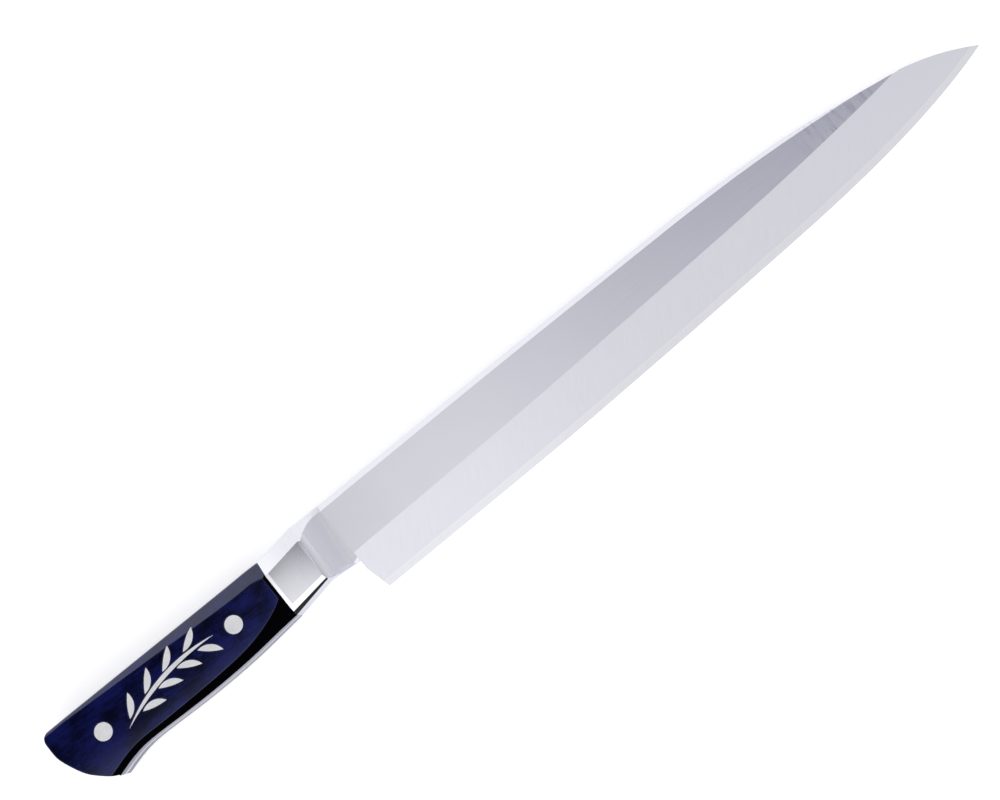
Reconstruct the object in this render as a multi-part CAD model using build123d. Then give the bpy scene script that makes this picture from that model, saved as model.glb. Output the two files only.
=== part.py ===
from build123d import *
import os
from math import asin, cos, degrees, hypot, radians, sin, tan

# A single-bevel slicing knife with a long narrow blade and a full-tang handle.
# While it is built, X runs from the heel of the cutting edge towards the point,
# Y from the cutting edge up to the spine, and Z from the middle of the tang
# towards the bevelled front face. All lengths are in millimetres.

# Blade
blade_length = 270.0
blade_height = 36.1
blade_thickness = 3.6
point_thickness = 1.6
point_height = 14.5
ridge_height = 16.0
edge_land = 0.2
core_thickness = 0.75
core_thickness_at_point = 0.4
spine_chamfer = 2.2
back_rim = 2.6
back_hollow_depth = 0.3

# Neck and choil, the notch behind the heel
neck_length = 2.1
choil_setback = 2.8
choil_radius = 5.4
choil_chamfer = 0.9
neck_underside = 12.5

# Bolster
bolster_length = 27.1
bolster_thickness = 16.4
bolster_front_thickness = 14.8
bolster_rear_underside = 11.45
bolster_front_underside = 14.1
cove_length = 10.2
cove_tilt = 5.7
weld_setback = 8.9
tenon_length = 7.0
tenon_height = 13.0

# Handle
handle_length = 90.4
handle_thickness = 19.0
handle_top_drop = 2.2
handle_front_underside = 11.45
tang_thickness = 3.6
butt_heel_drop = 3.75
butt_corner_radius = 3.8
top_edge_radius = 1.8

# Rivets, each a headed barrel from the front and a headed pin from the back
rivet_head_radius = 3.1
rivet_head_depth = 2.4
rivet_barrel_radius = 2.2
rivet_pin_radius = 1.3
rivet_end_gap = 0.8
front_rivet_setback = 17.8
rear_rivet_setback = 17.5
rivet_drop = 12.0

# Metal inlay in the front of the handle: a willow sprig
inlay_depth = 1.2
stem_end_gap = 7.0
stem_width = 1.5
stem_bow = 3.2
stem_tilt = 9.0
leaf_length = 8.6
leaf_width = 2.3
leaf_bow = 0.7
leaf_gap = 1.3
leaf_angle = 34.0

# Cutters run past what they cut by this much
overrun = 1.0

# How often a stretch of curve is halved to find a place on it
halvings = 30

# Blade stations, evenly spaced from the end of the neck to the point, each with: share
# of the edge's rise to the point, share of the way from the ridge's height at the heel to
# the spine's, share of the spine chamfer
blade_shares = (
    (0.000, 0.000, 1.06),
    (0.000, 0.015, 1.00),
    (0.000, 0.030, 1.00),
    (0.009, 0.057, 0.98),
    (0.050, 0.100, 0.96),
    (0.097, 0.146, 0.95),
    (0.159, 0.192, 0.92),
    (0.226, 0.256, 0.78),
    (0.351, 0.348, 0.36),
    (0.584, 0.487, 0.12),
    (1.000, 0.720, 0.00),
)
straight_edge_stations = 2

# The spine from the end of its straight to its corner, and from there to the point, each
# with: share of the blade's length, share of the spine's fall to the point
straight_spine_share = 0.190
spine_shares = (
    (0.287, 0.005),
    (0.389, 0.018),
    (0.491, 0.032),
    (0.593, 0.053),
    (0.667, 0.102),
    (0.741, 0.180),
    (0.796, 0.280),
    (0.833, 0.361),
    (0.870, 0.442),
    (0.904, 0.509),
)
tip_spine_shares = (
    (0.944, 0.662),
    (0.970, 0.799),
)

# Handle stations, evenly spaced from the bolster to just past the butt, each with: share
# of the front underside's height, top facet as a share of the handle's thickness, belly
# facet as a share of its height at the bolster, share of the thickness before the flats
# are ground, width of the underside as a share of the thickness
handle_shares = (
    (1.000, 0.357, 0.393, 0.875, 0.620),
    (0.943, 0.275, 0.214, 1.200, 0.720),
    (0.882, 0.267, 0.148, 1.050, 0.737),
    (0.843, 0.243, 0.124, 1.004, 0.737),
    (0.830, 0.215, 0.115, 1.004, 0.737),
    (0.834, 0.183, 0.107, 1.004, 0.737),
    (0.856, 0.159, 0.094, 1.004, 0.737),
    (0.886, 0.133, 0.083, 1.004, 0.737),
    (0.873, 0.110, 0.087, 1.004, 0.737),
    (0.721, 0.084, 0.089, 1.004, 0.737),
    (0.550, 0.066, 0.088, 1.004, 0.737),
    (0.384, 0.052, 0.087, 1.004, 0.737),
)

# Slopes of the facets and of the outlines at their ends
top_facet_slope = 0.9
spine_slope = 0.78
point_edge_slope = 0.30
spine_corner_slope = 0.155
tip_corner_slope = 0.26
point_spine_slope = 0.58
butt_slope = 0.5
corner_cut_slope = 1.1

# Bolster sections at its rear, at the step and at the neck, each with: top facet, belly
# facet and corner cut below it as shares of the section's height, then half the flat on
# top and half the flat underneath as shares of its half thickness
bolster_shares = (
    (0.275, 0.148, 0.063, 0.38, 0.695),
    (0.273, 0.100, 0.032, 0.25, 0.800),
    (0.450, 0.310, 0.004, 0.02, 0.040),
)

# The hollow in the blade's back, each with: share of the blade's length, share of the
# width inside the rim, share of the depth
hollow_shares = (
    (0.025, 0.55, 0.15),
    (0.110, 0.96, 0.90),
    (0.278, 1.00, 1.00),
    (0.481, 1.00, 0.95),
    (0.704, 1.00, 0.85),
    (0.820, 0.98, 0.65),
    (0.900, 0.90, 0.40),
    (0.945, 0.60, 0.12),
)

# Butt curve from the heel corner round to the top, each with: share of the handle's
# length, share of the height from the heel corner to the top
butt_shares = (
    (0.912, 0.135),
    (0.943, 0.247),
    (0.971, 0.412),
    (0.992, 0.582),
    (1.000, 0.767),
)
heel_corner_share = 0.861

# Leaves along the stem, on alternate sides, as shares of the stem's length
leaf_shares = (0.07, 0.17, 0.29, 0.39, 0.51, 0.61, 0.73, 0.83)

# Sizes that follow
half_tang = tang_thickness / 2
half_blade = blade_thickness / 2
back_plane = -half_blade
neck_end = -neck_length
weld_plane = -neck_length - weld_setback
bolster_rear = -neck_length - bolster_length
step_line = neck_end - cove_length - blade_height / 2 * tan(radians(cove_tilt))
handle_front = bolster_rear
handle_top = blade_height - handle_top_drop
handle_height = handle_top - handle_front_underside
butt_end = handle_front - handle_length
front_rivet = handle_front - front_rivet_setback
rear_rivet = butt_end + rear_rivet_setback
rivet_height = handle_top - rivet_drop
rivet_places = ((front_rivet, rivet_height), (rear_rivet, rivet_height))
stem_length = front_rivet - rear_rivet - stem_end_gap * 2
half_handle = handle_thickness / 2
wide = blade_height * 2


def yz_face(x, edges):
    """A flat face square to the knife's length, from edges drawn with X as height."""
    plane = Plane(origin=(x, 0, 0), x_dir=(0, 1, 0), z_dir=(1, 0, 0))
    return plane * make_face(edges)


def xz_face(edges):
    """A flat face along the knife's length, from edges drawn with Y as thickness."""
    plane = Plane(origin=(0, 0, 0), x_dir=(1, 0, 0), z_dir=(0, -1, 0))
    return plane * make_face(edges)


def facet_section(x, points, top_round):
    """A many-sided section, the same on both faces, with its two top corners rounded.

    The points are those of its front half, from the top down."""
    back_points = [(y, -z) for y, z in reversed(points)]
    rounds = [top_round] + [0] * (len(points) - 1)
    rounds = rounds + rounds[::-1]
    return yz_face(x, FilletPolyline(*points, *back_points, radius=rounds, close=True))


def spine_curves():
    """The spine in front of its straight: up to its corner, and from there to the point."""
    fall = blade_height - point_height
    rear = [(blade_length * along, blade_height - fall * down) for along, down in spine_shares]
    front = [(blade_length * along, blade_height - fall * down) for along, down in tip_spine_shares]
    rear = [(blade_length * straight_spine_share, blade_height)] + rear
    front = rear[-1:] + front + [(blade_length, point_height)]
    return (
        Spline(*rear, tangents=((1, 0), (1, -spine_corner_slope))),
        Spline(*front, tangents=((1, -tip_corner_slope), (1, -point_spine_slope))),
    )


def spine_height(x, curves):
    """The spine's height at x, found by halving the stretch of curve that holds it."""
    if x <= (curves[0] @ 0).X:
        return blade_height
    for curve in curves:
        if x < (curve @ 1).X:
            low, high = 0, 1
            for _ in range(halvings):
                middle = (low + high) / 2
                if (curve @ middle).X < x:
                    low = middle
                else:
                    high = middle
            return (curve @ low).Y
    return point_height


def blade_stations():
    """Place, spine, edge, ridge, thickness and chamfer along the blade."""
    rows = []
    curves = spine_curves()
    steps = len(blade_shares) - 1
    for i, (rise, ridge, chamfered) in enumerate(blade_shares):
        x = neck_end + (blade_length - neck_end) * i / steps
        rows.append((
            x,
            spine_height(x, curves),
            point_height * rise,
            ridge_height + (blade_height - ridge_height) * ridge,
            blade_thickness + (point_thickness - blade_thickness) * i / steps,
            spine_chamfer * chamfered,
        ))
    return rows


def blade_outline():
    """The blade seen from the front, with its neck and choil."""
    rows = blade_stations()
    edge_points = [(row[0], row[2]) for row in rows[straight_edge_stations:]]
    choil = FilletPolyline(
        (weld_plane, bolster_front_underside),
        (-choil_setback, neck_underside),
        (0, 0),
        radius=choil_radius,
    )
    heel_line = Line((0, 0), edge_points[0])
    edge_line = Spline(*edge_points, tangents=((1, 0), (1, point_edge_slope)))
    top = Line((weld_plane, blade_height), (blade_length * straight_spine_share, blade_height))
    back = Line((weld_plane, bolster_front_underside), (weld_plane, blade_height))
    lines = (choil, heel_line, edge_line, top, back) + spine_curves()
    return make_face([edge for line in lines for edge in line.edges()])


def blade_body():
    """The ground blade in front of the neck, before it is split into its two steels."""
    underrun = overrun / 2
    sections = []
    chamfer_sections = []
    for x, spine, edge, ridge, thick, chamfered in blade_stations():
        slope = (thick - edge_land) / (ridge - edge)
        front = back_plane + thick
        low = back_plane - underrun
        toe = edge - (edge_land + underrun) / slope
        corners = [(toe, low), (wide, low), (wide, front), (ridge, front)]
        sections.append(yz_face(x, Polyline(*corners, close=True)))
        if chamfered > 0:
            lip = [
                (spine - chamfered, front),
                (spine - chamfered, front + overrun),
                (spine + overrun, front + overrun),
                (spine + overrun, front - (chamfered + overrun) * spine_slope),
                (spine, front - chamfered * spine_slope),
            ]
            chamfer_sections.append(yz_face(x, Polyline(*lip, close=True)))
    wedge = loft(sections)
    plate = extrude(Pos(0, 0, back_plane) * blade_outline(), amount=blade_thickness + overrun)
    return (plate & wedge) - loft(chamfer_sections)


def back_hollow():
    """The shallow hollow ground into the blade's flat back, inside a narrow rim."""
    rows = blade_stations()
    places = [row[0] for row in rows]
    sections = []
    for along, width, depth in hollow_shares:
        x = blade_length * along
        spine = between(x, places, [row[1] for row in rows])
        edge = between(x, places, [row[2] for row in rows])
        half = (spine - edge - back_rim * 2) / 2 * width
        middle = (spine + edge) / 2
        bed = back_plane + back_hollow_depth * depth
        arc = ThreePointArc((middle - half, back_plane), (middle, bed), (middle + half, back_plane))
        low = back_plane - overrun / 2
        sides = Polyline(
            (middle + half, back_plane),
            (middle + half, low),
            (middle - half, low),
            (middle - half, back_plane),
        )
        sections.append(yz_face(x, arc.edges() + sides.edges()))
    return loft(sections)


def between(x, places, values):
    """The value at x on straight lines between the given places."""
    for i in range(len(places) - 1):
        if places[i] <= x <= places[i + 1]:
            share = (x - places[i]) / (places[i + 1] - places[i])
            return values[i] + (values[i + 1] - values[i]) * share
    return values[-1]


def choil_bevel():
    """The cone that bevels the inside of the choil on the front face."""
    arc = blade_outline().edges().filter_by(GeomType.CIRCLE)[0]
    centre = arc.arc_center
    depth = half_blade + overrun
    widening = choil_chamfer / half_blade * depth
    cone = Cone(choil_radius, choil_radius + widening, depth)
    return Pos(centre.X, centre.Y, depth / 2) * cone


def bolster_body():
    """The bolster with the root of the neck, before they part at the weld."""
    places = (bolster_rear, step_line, neck_end)
    tops = (handle_top, blade_height, blade_height)
    bottoms = (bolster_rear_underside, bolster_front_underside, neck_underside)
    halves = (bolster_thickness / 2, bolster_front_thickness / 2, bolster_front_thickness / 2)
    sections = []
    for x, top, bottom, half, shares in zip(places, tops, bottoms, halves, bolster_shares):
        top_share, belly_share, cut_share, top_flat, low_flat = shares
        height = top - bottom
        cut = height * cut_share
        low_half = half * low_flat
        points = [
            (top, half * top_flat),
            (top - height * top_share, half),
            (bottom + height * belly_share, half),
            (bottom + cut, low_half + cut * corner_cut_slope),
            (bottom, low_half),
        ]
        sections.append(facet_section(x, points, 0))
    body = loft(sections, ruled=True)
    for side in (1, -1):
        body -= cove_cutter(side)
    return body


def cove_cutter(side):
    """The wheel that sweeps the bolster's face down to the blade's face."""
    rise = bolster_front_thickness / 2 - half_blade
    radius = (cove_length ** 2 + rise ** 2) / (rise * 2)
    start = (neck_end - cove_length, half_blade + rise)
    turn = asin(cove_length / radius) / 2
    middle = (neck_end - radius * sin(turn), half_blade + radius - radius * cos(turn))
    arc = ThreePointArc(start, middle, (neck_end, half_blade))
    lid = half_blade + rise + overrun
    sides = Polyline(
        (neck_end, half_blade),
        (neck_end + cove_length, half_blade),
        (neck_end + cove_length, lid),
        (neck_end - cove_length, lid),
        start,
    )
    sweep = extrude(xz_face(arc.edges() + sides.edges()), amount=-wide)
    hub = Pos(neck_end, blade_height, 0)
    wheel = hub * Rot(0, 0, -cove_tilt) * hub.inverse() * sweep
    return wheel if side > 0 else mirror(wheel, about=Plane.XY)


def block(x0, x1, y0, y1, z0, z1):
    """A box between two corners."""
    box = Box(x1 - x0, y1 - y0, z1 - z0, align=(Align.MIN, Align.MIN, Align.MIN))
    return Pos(x0, y0, z0) * box


def handle_body():
    """The whole handle as ground flush: tang and both scales together."""
    sections = []
    step = (handle_length + overrun) / (len(handle_shares) - 1)
    for i, (low, top_share, belly_share, thick, under_share) in enumerate(handle_shares):
        bottom = handle_front_underside * low
        top_facet = handle_thickness * top_share
        belly_facet = handle_height * belly_share
        low_half = half_handle * under_share
        swell = half_handle * (thick - 1)
        shoulder = handle_top - top_facet - swell / top_facet_slope
        hip = bottom + belly_facet + swell * belly_facet / (half_handle - low_half)
        top_half = half_handle - top_facet * top_facet_slope
        x = handle_front - step * i
        half = half_handle + swell
        points = [(handle_top, top_half), (shoulder, half), (hip, half), (bottom, low_half)]
        sections.append(facet_section(x, points, top_edge_radius))
    flats = block(butt_end - overrun, handle_front, -wide, wide, -half_handle, half_handle)
    return loft(sections) & flats & butt_trim()


def butt_trim():
    """A plate that holds the handle's outline at the butt and is wider elsewhere."""
    end = butt_end
    heel = (handle_front - handle_length * heel_corner_share, handle_front_underside - butt_heel_drop)
    rise = handle_top - heel[1]
    points = [(handle_front - handle_length * along, heel[1] + rise * up) for along, up in butt_shares]
    curve = Spline(heel, *points, tangents=((-1, butt_slope), (0, 1)))
    front = handle_front + tenon_length
    top = handle_top + overrun / 4
    corner = end + butt_corner_radius
    arc = RadiusArc((end, top - butt_corner_radius), (corner, top), butt_corner_radius)
    sides = Polyline(
        (corner, top),
        (front, top),
        (front, -overrun),
        (heel[0], -overrun),
        heel,
    )
    rim = Line(points[-1], (end, top - butt_corner_radius))
    face = make_face(curve.edges() + rim.edges() + arc.edges() + sides.edges())
    return extrude(Pos(0, 0, -handle_thickness) * face, amount=handle_thickness * 2)


def stub(x, y, radius, z0, z1):
    """A round bar square to the handle's faces, from one height to another."""
    return Pos(x, y, (z0 + z1) / 2) * Cylinder(radius, z1 - z0)


def rivet_barrel(x, y, handle):
    """The headed barrel put in from the front, with a blind bore for the pin."""
    shoulder = half_handle - rivet_head_depth
    head = stub(x, y, rivet_head_radius, shoulder, half_handle + overrun) & handle
    barrel = stub(x, y, rivet_barrel_radius, rivet_end_gap - shoulder, shoulder)
    bore = stub(x, y, rivet_pin_radius, -shoulder, shoulder - rivet_head_depth)
    return head + barrel - bore


def rivet_pin(x, y, handle):
    """The headed pin pressed into the barrel from the back."""
    shoulder = half_handle - rivet_head_depth
    head = stub(x, y, rivet_head_radius, -half_handle - overrun, -shoulder) & handle
    shank = stub(x, y, rivet_pin_radius, -shoulder, shoulder - rivet_head_depth - rivet_end_gap)
    return head + shank


def rivet_holes():
    """The holes through both scales and the tang, stepped for the rivet heads."""
    holes = Part()
    shoulder = half_handle - rivet_head_depth
    out = half_handle + overrun
    for x, y in rivet_places:
        holes += stub(x, y, rivet_barrel_radius, -out, out)
        holes += stub(x, y, rivet_head_radius, shoulder, out)
        holes += stub(x, y, rivet_head_radius, -out, -shoulder)
    return holes


def crescent(start, end, bow, width):
    """A long pointed shape between two arcs, bowed to its left by bow at its middle."""
    run = (end[0] - start[0], end[1] - start[1])
    length = hypot(run[0], run[1])
    left = (-run[1] / length, run[0] / length)
    middle = ((start[0] + end[0]) / 2, (start[1] + end[1]) / 2)
    arcs = []
    for offset in (bow + width / 2, bow - width / 2):
        through = (middle[0] + left[0] * offset, middle[1] + left[1] * offset)
        arcs.append(ThreePointArc(start, through, end))
    return make_face(arcs[0].edges() + arcs[1].edges())


def stem_point(along):
    """A point on the stem's bowed middle line, and the line's angle there."""
    angle = radians(stem_tilt)
    x = (along - 0.5) * stem_length
    y = stem_bow * (1 - (along * 2 - 1) ** 2)
    turn = -stem_bow * 4 * (along * 2 - 1) / stem_length
    centre = (front_rivet + rear_rivet) / 2
    foot = rivet_height - stem_bow / 2
    return (
        centre + x * cos(angle) - y * sin(angle),
        foot + x * sin(angle) + y * cos(angle),
        stem_tilt + degrees(turn),
    )


def sprig_leaf(along, side):
    """One pointed leaf that grows forward from the stem on one side."""
    x, y, angle = stem_point(along)
    out = radians(angle + 90 * side)
    direction = radians(angle + leaf_angle * side)
    base = (x + leaf_gap * cos(out), y + leaf_gap * sin(out))
    tip = (base[0] + leaf_length * cos(direction), base[1] + leaf_length * sin(direction))
    return crescent(base, tip, -leaf_bow * side, leaf_width)


def sprig_stem():
    """The bowed stem, pointed at both ends."""
    return crescent(stem_point(0)[:2], stem_point(1)[:2], stem_bow, stem_width)


def inlaid(faces, handle):
    """Pieces set in the front of the handle, flush with its face."""
    floor = half_handle - inlay_depth
    pieces = [extrude(Pos(0, 0, floor) * face, amount=inlay_depth + overrun) for face in faces]
    return [piece & handle for piece in pieces]


handle = handle_body()
bolster_and_root = bolster_body()

# The blade: a plate with a tenon behind it, split into hard steel at the back and
# soft steel in front of it
tenon_low = (blade_height + neck_underside - tenon_height) / 2
tenon = block(weld_plane - tenon_length, weld_plane, tenon_low, tenon_low + tenon_height,
              -half_blade, half_blade)
root = bolster_and_root & block(weld_plane, neck_end, -wide, wide, -wide, wide)
blade = blade_body() + root + tenon - choil_bevel()
far = blade_length + overrun
near = weld_plane - tenon_length - overrun
split_slope = (core_thickness - core_thickness_at_point) / blade_length
low = -bolster_thickness
core_zone = extrude(
    xz_face(Polyline(
        (near, low),
        (far, low),
        (far, back_plane + core_thickness - split_slope * far),
        (near, back_plane + core_thickness - split_slope * near),
        close=True,
    )),
    amount=-wide,
)
blade_core = (blade & core_zone) - back_hollow()
blade_cladding = blade - core_zone

# The handle: one tang between two scales
slab = block(butt_end - overrun, handle_front, -wide, wide, -half_tang, half_tang)
tang_tenon = block(handle_front, handle_front + tenon_length, tenon_low, tenon_low + tenon_height,
                   -half_tang, half_tang)
holes = rivet_holes()
tang = (handle & slab) + tang_tenon - holes
bolster = bolster_and_root & block(bolster_rear, weld_plane, -wide, wide, -wide, wide)
bolster = bolster - tenon - tang_tenon

stem = inlaid([sprig_stem()], handle)
leaves = inlaid([sprig_leaf(along, (-1) ** i) for i, along in enumerate(leaf_shares)], handle)
front_half = block(butt_end - overrun, handle_front, -wide, wide, half_tang, wide)
back_half = block(butt_end - overrun, handle_front, -wide, wide, -wide, -half_tang)
scale_front = (handle & front_half) - holes
for piece in stem + leaves:
    scale_front -= piece
scale_back = (handle & back_half) - holes

parts = {
    "blade_core": [blade_core],
    "blade_cladding": [blade_cladding],
    "bolster": [bolster],
    "tang": [tang],
    "handle_scale_front": [scale_front],
    "handle_scale_back": [scale_back],
    "inlay_stem": stem,
    "inlay_leaves": leaves,
    "rivet_barrels": [rivet_barrel(x, y, handle) for x, y in rivet_places],
    "rivet_pins": [rivet_pin(x, y, handle) for x, y in rivet_places],
}

# The finished knife lies on its back: its origin is under the middle of its box
origin = Pos(-(blade_length + butt_end) / 2, -blade_height / 2, half_handle)
os.makedirs("parts", exist_ok=True)
for name, solids in parts.items():
    whole = Compound(children=[origin * solid for piece in solids for solid in piece.solids()])
    export_step(whole, f"parts/{name}.step")
    print(name, len(whole.solids()), round(whole.volume, 1))
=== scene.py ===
import math

import bmesh
import bpy
from mathutils import Matrix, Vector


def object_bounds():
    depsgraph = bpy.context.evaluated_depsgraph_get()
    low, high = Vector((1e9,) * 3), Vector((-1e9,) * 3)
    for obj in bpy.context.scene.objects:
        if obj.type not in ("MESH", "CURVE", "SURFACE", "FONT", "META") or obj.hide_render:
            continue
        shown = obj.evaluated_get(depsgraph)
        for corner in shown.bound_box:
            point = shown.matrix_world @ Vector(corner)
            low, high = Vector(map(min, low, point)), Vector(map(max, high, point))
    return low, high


bl_info = {
    "name": "Slicing knife looks",
    "version": (1, 0, 0),
    "blender": (4, 5, 0),
    "location": "3D View > Sidebar > Knife",
    "description": "Steels, dyed wood, inlay and a studio for a single-bevel slicing knife",
    "category": "Material",
}

# The knife lies on its back: X runs to the point, Y from the edge to the spine, Z up.
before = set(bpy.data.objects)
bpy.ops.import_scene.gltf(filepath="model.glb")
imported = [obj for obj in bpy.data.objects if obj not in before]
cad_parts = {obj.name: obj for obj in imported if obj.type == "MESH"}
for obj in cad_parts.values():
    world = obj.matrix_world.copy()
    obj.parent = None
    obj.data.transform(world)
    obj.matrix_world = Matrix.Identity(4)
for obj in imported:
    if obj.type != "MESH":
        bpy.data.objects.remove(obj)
cad_box = [list(corner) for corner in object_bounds()]
MM = 0.001

# Places along the knife: the bolster's joint with the handle, its end at the neck and the
# blade's point. The bolster has a rim at the joint.
bolster_reach = [corner[0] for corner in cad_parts["bolster"].bound_box]
JOINT = min(bolster_reach)
NECK = max(bolster_reach)
POINT = cad_box[1][0]
JOINT_RIM = 1.4 * MM

# The middle lines of the crowned faces, and how sharply the faces bend across them, per metre
BOLSTER_MIDDLE = 4.5 * MM
BOLSTER_BEND = 16.0
HANDLE_MIDDLE = 5.0 * MM
HANDLE_BEND = 6.0

# How deep the fine marks of the steels and the pores of the wood are
MARK_DEPTH = 0.01 * MM


# Materials

class Wire:
    """A node socket that can be used in sums, so that shader maths reads as maths."""

    def __init__(self, paint, socket):
        self.paint = paint
        self.socket = socket

    def _math(self, operation, *values):
        return self.paint.node("ShaderNodeMath", {"operation": operation}, values)

    def __neg__(self):
        return self._math("MULTIPLY", self, -1)

    def __add__(self, other):
        return self._math("ADD", self, other)

    def __radd__(self, other):
        return self._math("ADD", other, self)

    def __sub__(self, other):
        return self._math("SUBTRACT", self, other)

    def __rsub__(self, other):
        return self._math("SUBTRACT", other, self)

    def __mul__(self, other):
        return self._math("MULTIPLY", self, other)

    def __rmul__(self, other):
        return self._math("MULTIPLY", other, self)

    def __pow__(self, other):
        return self._math("POWER", self, other)


class Paint:
    """The node tree of a material, or of the world, while it is being made."""

    def __init__(self, owner):
        owner.use_nodes = True
        self.owner = owner
        self.tree = owner.node_tree
        self.tree.nodes.clear()

    def node(self, kind, settings=None, values=(), output=0):
        """A node of a kind, its settings first, then its sockets by place or by name."""
        node = self.tree.nodes.new(kind)
        for name, value in (settings or {}).items():
            setattr(node, name, value)
        pairs = values.items() if isinstance(values, dict) else enumerate(values)
        for key, value in pairs:
            if isinstance(value, Wire):
                self.tree.links.new(value.socket, node.inputs[key])
            elif value is not None:
                node.inputs[key].default_value = value
        return Wire(self, node.outputs[output]) if node.outputs else None

    def close(self, shader, kind="ShaderNodeOutputMaterial"):
        """Leads a shader to the output of the tree."""
        self.node(kind, {}, {"Surface": shader})
        return self.owner

    def shader(self, values):
        """A Principled shader."""
        return self.node("ShaderNodeBsdfPrincipled", {}, values)

    def metal(self, base, rough, normal, metallic=1.0):
        """Ends a metal: one Principled shader and the material's output."""
        return self.close(self.shader({
            "Base Color": base, "Metallic": metallic, "Roughness": rough, "Normal": normal,
        }))

    def place(self):
        """The point on the knife, in metres."""
        return self.node("ShaderNodeTexCoord", {}, (), "Object")

    def facing(self):
        """The way the surface faces, in the knife's own axes."""
        return self.node("ShaderNodeTexCoord", {}, (), "Normal")

    def axis(self, vector, name):
        """One of the three numbers of a vector."""
        return self.node("ShaderNodeSeparateXYZ", {}, (vector,), name)

    def axes(self, vector):
        """All three numbers of a vector."""
        return [self.axis(vector, name) for name in "XYZ"]

    def step(self, value, low, high):
        """0 below low, 1 above high and smooth between."""
        values = {"Value": value, "From Min": low, "From Max": high}
        settings = {"interpolation_type": "SMOOTHSTEP", "clamp": True}
        return self.node("ShaderNodeMapRange", settings, values)

    def band(self, value, rise, fall):
        """1 between two soft borders, each given as where it starts and where it ends."""
        return self.step(value, *rise) * (1 - self.step(value, *fall))

    def mix(self, factor, low, high):
        """A colour between two colours."""
        settings = {"data_type": "RGBA", "blend_type": "MIX"}
        values = {"Factor": factor, 6: self.colour(low), 7: self.colour(high)}
        return self.node("ShaderNodeMix", settings, values, 2)

    def colour(self, value):
        """A colour with its fourth number, or a wire as it is."""
        return value if isinstance(value, Wire) else (*value[:3], 1.0)

    def stretched(self, scale, turn=0.0):
        """The point on the knife with each axis scaled, so that a pattern runs in lines."""
        values = {"Vector": self.place(), "Rotation": (0, 0, turn)}
        turned = self.node("ShaderNodeMapping", {"vector_type": "POINT"}, values)
        return self.node("ShaderNodeVectorMath", {"operation": "MULTIPLY"}, (turned, scale))

    def noise(self, vector, scale, detail, roughness):
        """Cloudy noise between 0 and 1."""
        values = {"Vector": vector, "Scale": scale, "Detail": detail, "Roughness": roughness}
        return self.node("ShaderNodeTexNoise", {}, values, "Fac")

    def marks(self, scale, turn=0.0):
        """Fine marks, drawn out along the axes whose scale is small."""
        return self.noise(self.stretched(scale, turn), 4.0, 3.0, 0.7)

    def flats(self):
        """1 on the two broad flats and 0 on what slopes away from them."""
        up = self.axis(self.facing(), "Z")
        return self.step(up * up, 0.98, 0.99)

    def crown(self, middle, bend):
        """The height, in metres, of a face that falls away from a middle line in Y."""
        off = self.axis(self.place(), "Y") - middle
        return off * off * (-bend / 2)

    def bump(self, height, distance, strength=1.0, normal=None):
        """A normal that follows a height, which the distance turns into metres."""
        values = {"Height": height, "Distance": distance, "Strength": strength, "Normal": normal}
        return self.node("ShaderNodeBump", {}, values)

    def eased(self, radius):
        """The normal with edges rounded off by a small radius."""
        return self.node("ShaderNodeBevel", {"samples": 6}, (radius,))

    def leaned(self, normal, lean):
        """A normal leaned towards the spine by a share of its length."""
        aside = self.node("ShaderNodeCombineXYZ", {}, {"Y": lean})
        total = self.node("ShaderNodeVectorMath", {"operation": "ADD"}, (normal, aside))
        return self.node("ShaderNodeVectorMath", {"operation": "NORMALIZE"}, (total,))

    def lift(self, up):
        """The lean that lets a facet under the knife's side mirror the light overhead. It
        grows as the facet gets steeper, and a wall has none."""
        return self.step(up, 0.48, 0.52) * (1.2 - up * 1.1)


def new_paint(name):
    """An empty material to paint."""
    return Paint(bpy.data.materials.new(name))


def linear(red, green, blue):
    """A colour given as on a screen, from 0 to 255, as the light that it stands for."""
    shares = [value / 255 for value in (red, green, blue)]
    return tuple(s / 12.92 if s <= 0.04045 else ((s + 0.055) / 1.055) ** 2.4 for s in shares)


def shade(colour, share):
    """A colour made darker, or lighter, by a share."""
    return [part * share for part in colour]


def dress(names, material):
    """Gives CAD pieces a material in place of the one that they came with."""
    for name in names:
        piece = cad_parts[name]
        piece.data.materials.clear()
        piece.data.materials.append(material)


# Sizes and colours that a user would change

class SteelFinish(bpy.types.PropertyGroup):
    """The steels of the blade and the bolster."""

    soft_colour: bpy.props.FloatVectorProperty(
        name="Cladding", description="Colour of the soft steel", subtype="COLOR",
        default=(0.70, 0.70, 0.75), min=0, max=1)
    hard_colour: bpy.props.FloatVectorProperty(
        name="Core", description="Colour of the hard steel at the edge", subtype="COLOR",
        default=(0.74, 0.74, 0.78), min=0, max=1)
    bolster_colour: bpy.props.FloatVectorProperty(
        name="Bolster", description="Colour of the bolster's steel", subtype="COLOR",
        default=(0.74, 0.74, 0.78), min=0, max=1)
    satin: bpy.props.FloatProperty(
        name="Satin", description="Roughness of the flats", default=0.2, min=0, max=1)


class HandleFinish(bpy.types.PropertyGroup):
    """The dyed wood and what is set in it."""

    dark_blue: bpy.props.FloatVectorProperty(
        name="Dark blue", description="Colour of the dense layers of the wood",
        subtype="COLOR", default=linear(0, 1, 28), min=0, max=1)
    light_blue: bpy.props.FloatVectorProperty(
        name="Light blue", description="Colour of the open layers of the wood",
        subtype="COLOR", default=linear(14, 20, 84), min=0, max=1)
    inlay_colour: bpy.props.FloatVectorProperty(
        name="Inlay", description="Colour of the inlaid metal and the rivets",
        subtype="COLOR", default=(0.92, 0.92, 0.93), min=0, max=1)


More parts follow.
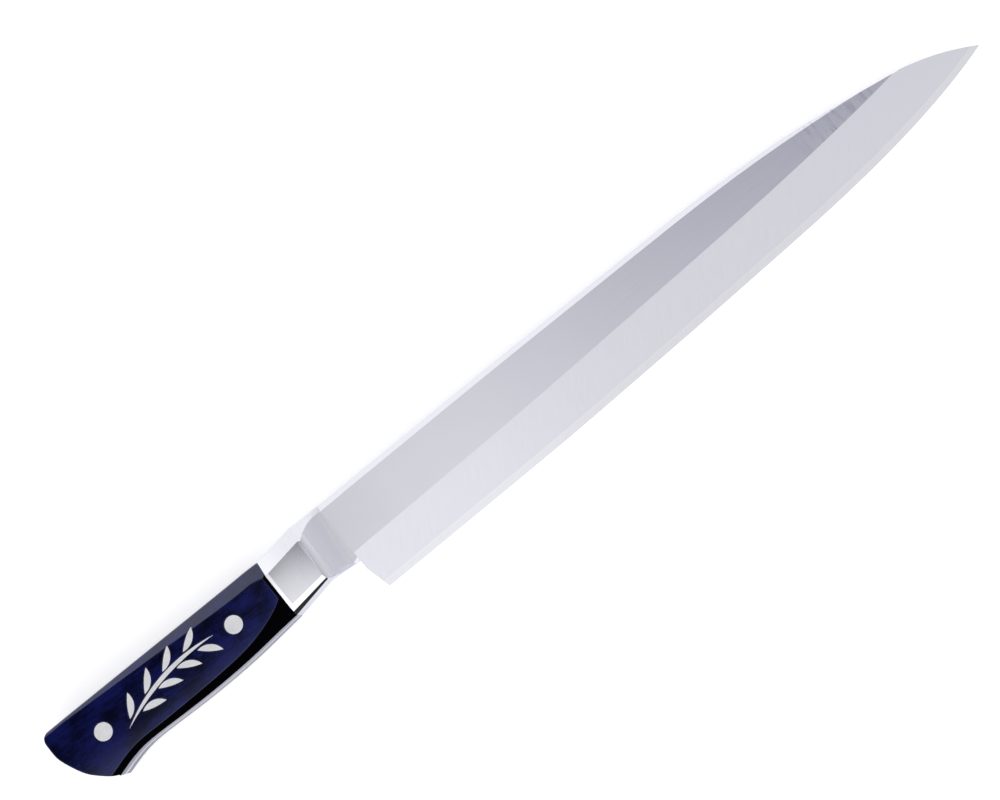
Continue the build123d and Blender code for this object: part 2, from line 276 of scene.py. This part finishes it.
class StageSetup(bpy.types.PropertyGroup):
    """The floor, the light and the camera."""

    camera_place: bpy.props.FloatVectorProperty(
        name="Camera place", description="The lens, from the middle of the knife's back",
        subtype="XYZ", unit="LENGTH", default=(-25.2 * MM, -77.65 * MM, 649.5 * MM))
    turn: bpy.props.FloatProperty(
        name="Turn", description="How far the knife points up to the right",
        subtype="ANGLE", default=math.radians(39.743))
    lean: bpy.props.FloatProperty(
        name="Lean", description="How far the lens looks up the picture from straight down",
        subtype="ANGLE", default=math.radians(6.789))
    sidelong: bpy.props.FloatProperty(
        name="Sidelong", description="How far the lens looks to the left of straight down",
        subtype="ANGLE", default=math.radians(3.554))
    lens: bpy.props.FloatProperty(
        name="Lens", description="Focal length on a 36 mm wide sensor, in millimetres",
        default=69.246, min=10, max=300)
    room_light: bpy.props.FloatProperty(
        name="Room light", description="Strength of the light from all round",
        default=1.0, min=0, max=5)


# Pieces

class KNIFE_OT_blade(bpy.types.Operator):
    """Give the blade its two steels."""

    bl_idname = "knife.blade"
    bl_label = "Blade"

    def execute(self, context):
        steel = context.scene.knife_steel
        soft = blade_steel("soft_steel", steel.soft_colour, steel.satin)
        hard = blade_steel("hard_steel", steel.hard_colour, steel.satin * 0.8)
        dress(["blade_cladding"], soft)
        dress(["blade_core"], hard)
        return {"FINISHED"}


def blade_steel(name, colour, satin):
    """Steel with long satin lines on the flats, slanting marks on the bevel, a patch of
    cross marks near the point and a duller, paler cove at the neck."""
    paint = new_paint(name)
    to_point, to_spine, up = paint.axes(paint.facing())
    along = paint.axis(paint.place(), "X")

    # The flats, the bevel and the facets under the neck, told apart by how they slope
    flat = 1 - paint.step(-to_spine, 0.01, 0.05)
    bevel = paint.step(-to_spine, 0.05, 0.12)
    steep = paint.step(-to_spine, 0.3, 0.5)

    lines = paint.marks((8, 900, 900))
    slanting = paint.marks((900, 30, 30), math.radians(28))
    grain = lines * (1 - bevel) + slanting * bevel
    clouds = paint.noise(paint.place(), 30.0, 2.0, 0.5)
    rough = satin + (grain - 0.5) * 0.10 + (clouds - 0.5) * 0.06 - bevel * 0.03
    base = paint.mix(paint.step(grain, 0.3, 0.7), shade(colour, 0.96), colour)

    patch = flat * paint.band(POINT - along, (27 * MM, 40 * MM), (55 * MM, 75 * MM))
    streaks = paint.step(paint.marks((130, 20, 20)), 0.45, 0.7)
    base = paint.mix(streaks * patch, base, shade(colour, 0.78))

    # The cove faces the point, and so does the bevel's end, which lies far from the neck. The
    # facets above and below the cove stay bright.
    cove = paint.step(to_point, 0.01, 0.05) * (1 - paint.step(along - NECK, 10 * MM, 12 * MM))
    cove = cove * (1 - steep) * (1 - paint.step(to_spine, 0.15, 0.4))
    rough = rough + cove * 0.2
    base = paint.mix(cove, base, shade(colour, 1.13))

    normal = paint.bump(grain, MARK_DEPTH, 0.1)
    return paint.metal(base, rough, paint.leaned(normal, steep * paint.lift(up)))


class KNIFE_OT_bolster(bpy.types.Operator):
    """Give the bolster and the tang their steel."""

    bl_idname = "knife.bolster"
    bl_label = "Bolster and tang"

    def execute(self, context):
        steel = context.scene.knife_steel
        bright = bolster_steel("bolster_steel", steel.bolster_colour, steel.satin * 0.7)
        plain = tang_steel("tang_steel", steel.soft_colour, steel.satin * 1.6)
        dress(["bolster"], bright)
        dress(["tang"], plain)
        return {"FINISHED"}


def polish(paint, colour, satin):
    """The colour, roughness and normal of steel with a polishing wheel's fine marks."""
    rings = paint.marks((900, 20, 20))
    clouds = paint.noise(paint.place(), 60.0, 3.0, 0.5)
    base = paint.mix(paint.step(rings, 0.3, 0.7), shade(colour, 0.96), colour)
    rough = satin + (rings - 0.5) * 0.04 + (clouds - 0.5) * 0.10
    return base, rough, paint.bump(rings, MARK_DEPTH, 0.1, paint.eased(0.2 * MM))


def tang_steel(name, colour, satin):
    """Polished steel as it comes from the wheel."""
    paint = new_paint(name)
    return paint.metal(*polish(paint, colour, satin))


def bolster_steel(name, colour, satin):
    """Polished steel with crowned sides, a duller cove and a bright rim at the joint."""
    paint = new_paint(name)
    base, rough, normal = polish(paint, colour, satin)
    to_point, to_spine, up = paint.axes(paint.facing())
    along = paint.axis(paint.place(), "X") - JOINT
    flats = paint.flats()
    under = paint.step(-to_spine, 0.25, 0.35)
    cove = paint.step(to_point, 0.01, 0.05) * (1 - under)
    rough = rough + cove * 0.13 - under * 0.08

    # The sides bend most at the joint and dip towards the neck.
    bend_share = 1.25 - along * 40
    dip = along ** 3 * 143
    height = (paint.crown(BOLSTER_MIDDLE, BOLSTER_BEND) * bend_share - dip) * flats
    normal = paint.bump(height, 1.0, 1.0, normal)

    # The wedge underneath leans a little to the spine, the lower facets' end at the neck
    # leans more, and the rim leans the other way.
    wedge = paint.step(-to_spine, 0.55, 0.68) * paint.step(up, 0.2, 0.35)
    corner = under * paint.step(along, 15 * MM, 16 * MM) * paint.lift(up)
    rim = flats * paint.step(JOINT_RIM - along, 0, 0.3 * MM)
    return paint.metal(base, rough, paint.leaned(normal, wedge * 0.08 + corner - rim * 0.3))


class KNIFE_OT_handle(bpy.types.Operator):
    """Give both scales their dyed wood."""

    bl_idname = "knife.handle"
    bl_label = "Handle scales"

    def execute(self, context):
        colours = context.scene.knife_handle
        wood = dyed_wood("dyed_wood", colours.dark_blue, colours.light_blue)
        dress(["handle_scale_front", "handle_scale_back"], wood)
        return {"FINISHED"}


def dyed_wood(name, dark, light):
    """Thin layers of dyed wood under a buffed gloss, with pores and cloudy patches. The
    facet underneath has no gloss, and its near black is painted shade."""
    paint = new_paint(name)
    to_point, to_spine, up = paint.axes(paint.facing())
    grain = paint.noise(paint.stretched((60, 500, 500)), 3.0, 6.0, 0.65)
    clouds = paint.noise(paint.stretched((60, 110, 110)), 1.6, 4.0, 0.6)
    pores = paint.noise(paint.stretched((300, 3000, 3000)), 1.5, 2.0, 0.5)
    pores = paint.step(pores, 0.6, 0.75)
    base = paint.mix(paint.step(grain * 0.45 + clouds * 0.75, 0.45, 0.78), dark, light)
    rough = 0.14 + (clouds - 0.5) * 0.08 + pores * 0.1

    # The broad faces are crowned and tilt a little along the handle.
    height = paint.crown(HANDLE_MIDDLE, HANDLE_BEND) + paint.axis(paint.place(), "X") * 0.03
    normal = paint.bump(1 - pores, MARK_DEPTH, 0.3, paint.eased(0.6 * MM))
    normal = paint.bump(height * paint.flats(), 1.0, 1.0, normal)
    glossy = paint.shader({
        "Base Color": base, "Metallic": 0.0, "Roughness": rough, "Normal": normal,
        "IOR": 1.65, "Specular Tint": (0.62, 0.66, 1.0, 1.0),
    })
    # Painted shade: the facet underneath gets a matte, near-black copy of the wood's colour.
    under = paint.step(to_point * 2 - to_spine, 0.05, 0.2) * paint.step(up, 0.2, 0.4)
    painted_shade_matte = paint.shader({
        "Base Color": paint.mix(under, base, shade(dark, 0.06)), "Metallic": 0.0,
        "Roughness": 0.6, "Specular IOR Level": 0.02,
    })
    return paint.close(paint.node("ShaderNodeMixShader", {}, (under, glossy, painted_shade_matte)))


class KNIFE_OT_inlay(bpy.types.Operator):
    """Give the sprig its metal."""

    bl_idname = "knife.inlay"
    bl_label = "Inlaid sprig"

    def execute(self, context):
        colour = context.scene.knife_handle.inlay_colour
        dress(["inlay_stem", "inlay_leaves"], soft_metal("inlay_metal", colour))
        return {"FINISHED"}


class KNIFE_OT_rivets(bpy.types.Operator):
    """Give the rivets their metal."""

    bl_idname = "knife.rivets"
    bl_label = "Rivets"

    def execute(self, context):
        colour = context.scene.knife_handle.inlay_colour
        dress(["rivet_barrels", "rivet_pins"], soft_metal("rivet_metal", colour))
        return {"FINISHED"}


def soft_metal(name, colour):
    """Soft pale metal sanded flush with the wood."""
    paint = new_paint(name)
    sanding = paint.noise(paint.stretched((200, 1500, 1500)), 3.0, 4.0, 0.7)
    clouds = paint.noise(paint.place(), 400.0, 3.0, 0.6)
    worn = paint.step(sanding * 0.6 + clouds * 0.4, 0.35, 0.65)
    base = paint.mix(worn, shade(colour, 0.86), colour)
    rough = 0.5 + (sanding - 0.5) * 0.2
    normal = paint.bump(sanding, 2 * MARK_DEPTH, 0.3)
    return paint.metal(base, rough, normal, 0.15)


# Stage

class KNIFE_OT_stage(bpy.types.Operator):
    """Lay the floor, set the light and aim the camera."""

    bl_idname = "knife.stage"
    bl_label = "Stage"

    def execute(self, context):
        stage = context.scene.knife_stage
        lay_floor(context)
        light_room(context, stage)
        aim_camera(context, stage)
        context.scene.view_settings.view_transform = "Standard"
        return {"FINISHED"}


FLOOR_HALF = 4.0
FLOOR_GAP = 0.2 * MM


def lay_floor(context):
    """A wide pale floor just under the knife."""
    mesh = bpy.data.meshes.new("floor")
    shape = bmesh.new()
    bmesh.ops.create_grid(shape, x_segments=1, y_segments=1, size=FLOOR_HALF)
    bmesh.ops.translate(shape, verts=shape.verts, vec=(0, 0, -FLOOR_GAP))
    shape.to_mesh(mesh)
    shape.free()
    floor = bpy.data.objects.new("floor", mesh)
    context.scene.collection.objects.link(floor)
    mesh.materials.append(floor_paint("pale_floor"))


def floor_paint(name):
    """Pale and matte, with a glow that makes it white for the camera. The steel mirrors a
    lavender glow close to the knife, a whiter one behind it and a dim floor farther in front."""
    paint = new_paint(name)
    seen = paint.node("ShaderNodeLightPath", {}, (), "Is Camera Ray")
    mirrored = paint.node("ShaderNodeLightPath", {}, (), "Is Glossy Ray")
    across = paint.axis(paint.place(), "Y")
    near = paint.step(across, -60 * MM, -30 * MM)
    behind = paint.step(across, 0, 30 * MM)
    colour = paint.mix(mirrored * (1 - near), (0.85, 0.85, 0.86), (0.12, 0.12, 0.2))
    tint = paint.mix(mirrored * (1 - behind), (1, 1, 1), (0.95, 0.95, 1.15))
    strength = seen * 0.56 + mirrored * near * (0.28 + behind * 0.2)
    matte = paint.node("ShaderNodeBsdfDiffuse", {}, {"Color": colour})
    glow = paint.node("ShaderNodeEmission", {}, {"Color": tint, "Strength": strength})
    return paint.close(paint.node("ShaderNodeAddShader", {}, (matte, glow)))


# How bright the room is, as a share of plain white
OVERHEAD = 1.13
IN_FRONT = 0.04
BEHIND = 1.24
WINDOW = 0.6


def light_room(context, stage):
    """A soft room: bright overhead, with a high window in front of the edge, a shade above
    the butt and a dimmer, bluish quarter towards the spine and the point. Low down it is
    bright behind the spine and dark in front of the edge."""
    world = bpy.data.worlds.new("room")
    paint = Paint(world)
    x, y, z = paint.axes(paint.node("ShaderNodeTexCoord", {}, (), "Generated"))
    to_point = paint.step(x, -0.02, 0.3)
    to_spine = paint.step(y, -0.06, 0.24)
    past_point = paint.step(x, 0.3, 0.5)
    past_spine = paint.band(y, (0.19, 0.34), (0.5, 0.7))
    over_butt = paint.band(-x, (0.11, 0.16), (0.45, 0.62)) * paint.step(y, -0.1, 0.06)
    window = paint.step(-y, 0.38, 0.55) * paint.step(z, 0.45, 0.65) * WINDOW

    ceiling = OVERHEAD - paint.step(x, -0.01, 0.12) * 0.18 - to_spine * (0.05 + to_point * 0.55)
    ceiling = ceiling + past_point * to_spine * 0.22 - past_spine * 0.52
    ceiling = (ceiling + window) * (1 - over_butt * 0.96)
    wall = IN_FRONT + paint.step(y, -0.4, 0.2) * (BEHIND - IN_FRONT)
    wall = wall + paint.step(y, 0.6, 0.9) * 0.08

    # The ceiling starts higher in front of the edge than behind the spine.
    front = 1 - paint.step(y, -0.4, 0)
    high = paint.step(z, 0.25, 0.5) * front + paint.step(z, 0.12, 0.3) * (1 - front)
    light = wall * (1 - high) + ceiling * high
    tint = paint.mix(to_spine * to_point * high, (1, 1, 1.01), (0.92, 0.94, 1.14))
    values = {"Color": tint, "Strength": light * stage.room_light}
    paint.close(paint.node("ShaderNodeBackground", {}, values), "ShaderNodeOutputWorld")
    context.scene.world = world


def aim_camera(context, stage):
    """A camera over the knife, turned so that the point is up to the right."""
    data = bpy.data.cameras.new("camera")
    camera = bpy.data.objects.new("camera", data)
    context.scene.collection.objects.link(camera)
    context.scene.camera = camera
    data.sensor_fit = "HORIZONTAL"
    data.sensor_width = 36.0
    data.lens = stage.lens
    camera.matrix_world = (
        Matrix.Translation(stage.camera_place)
        @ Matrix.Rotation(-stage.turn, 4, "Z")
        @ Matrix.Rotation(stage.lean, 4, "X")
        @ Matrix.Rotation(stage.sidelong, 4, "Y")
    )


# Panel and registration

class KNIFE_PT_panel(bpy.types.Panel):
    """The steps that dress the knife, and what they read."""

    bl_idname = "KNIFE_PT_panel"
    bl_label = "Knife"
    bl_space_type = "VIEW_3D"
    bl_region_type = "UI"
    bl_category = "Knife"

    def draw(self, context):
        for group_name in GROUPS:
            group = getattr(context.scene, group_name)
            for name in group.__annotations__:
                self.layout.prop(group, name)
        for step in STEPS:
            self.layout.operator(step.bl_idname)


STEPS = (
    KNIFE_OT_blade,
    KNIFE_OT_bolster,
    KNIFE_OT_handle,
    KNIFE_OT_inlay,
    KNIFE_OT_rivets,
    KNIFE_OT_stage,
)
GROUPS = {"knife_steel": SteelFinish, "knife_handle": HandleFinish, "knife_stage": StageSetup}


def register():
    for group in GROUPS.values():
        bpy.utils.register_class(group)
    for name, group in GROUPS.items():
        setattr(bpy.types.Scene, name, bpy.props.PointerProperty(type=group))
    for step in STEPS:
        bpy.utils.register_class(step)
    bpy.utils.register_class(KNIFE_PT_panel)


def unregister():
    bpy.utils.unregister_class(KNIFE_PT_panel)
    for step in reversed(STEPS):
        bpy.utils.unregister_class(step)
    for name in GROUPS:
        delattr(bpy.types.Scene, name)
    for group in reversed(GROUPS.values()):
        bpy.utils.unregister_class(group)


def main():
    register()
    bpy.ops.knife.blade()
    bpy.ops.knife.bolster()
    bpy.ops.knife.handle()
    bpy.ops.knife.inlay()
    bpy.ops.knife.rivets()
    bpy.ops.knife.stage()
    bpy.context.view_layer.update()


if __name__ == "__main__":
    main()
